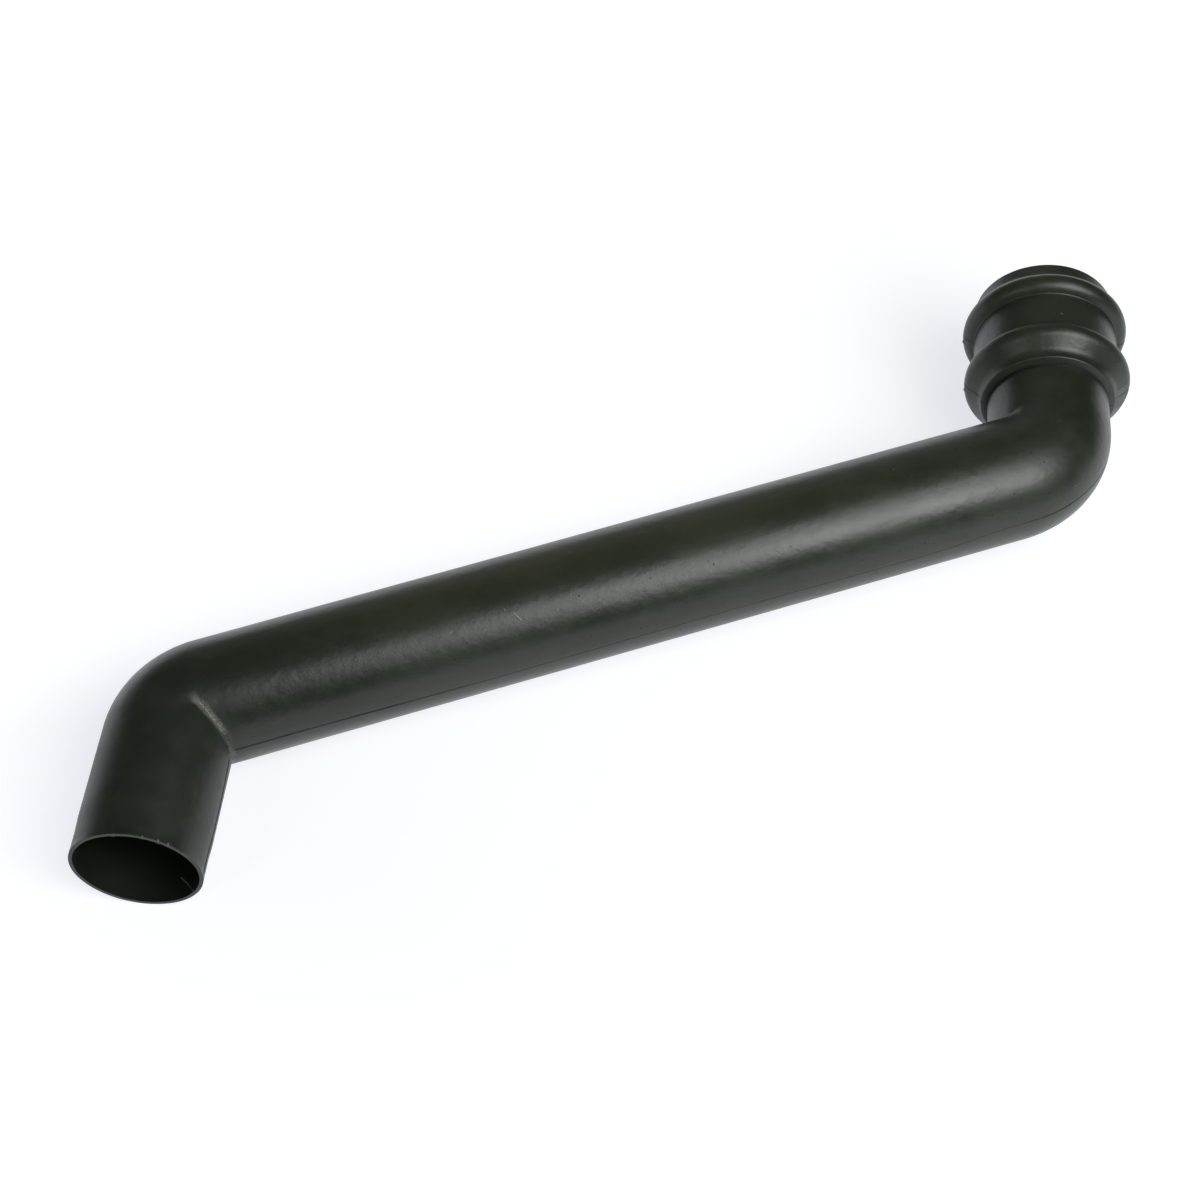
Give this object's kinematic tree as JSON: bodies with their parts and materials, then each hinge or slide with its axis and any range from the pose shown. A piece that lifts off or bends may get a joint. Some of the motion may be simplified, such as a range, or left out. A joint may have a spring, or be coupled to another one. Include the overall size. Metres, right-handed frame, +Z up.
{
  "type": "downpipe offset bend",
  "caption": "Round plastic downpipe offset bend: an S-shaped pipe with a plain spigot leg, a sloping run and a beaded socket.",
  "frame": {"origin": "under the middle of the bounding box, on the surface that the piece lies on", "axes": "+X along the offset from the spigot leg to the socket leg, +Y out of the socket's mouth (the spigot points along -Y), +Z up from the surface"},
  "size_m": [0.5374, 0.4056, 0.0934],
  "materials": {
    "moulded_plastic": "satin dark olive-black moulded plastic"
  },
  "bodies": {
    "root": {"offset_bend": "moulded_plastic"}
  },
  "joints": []
}
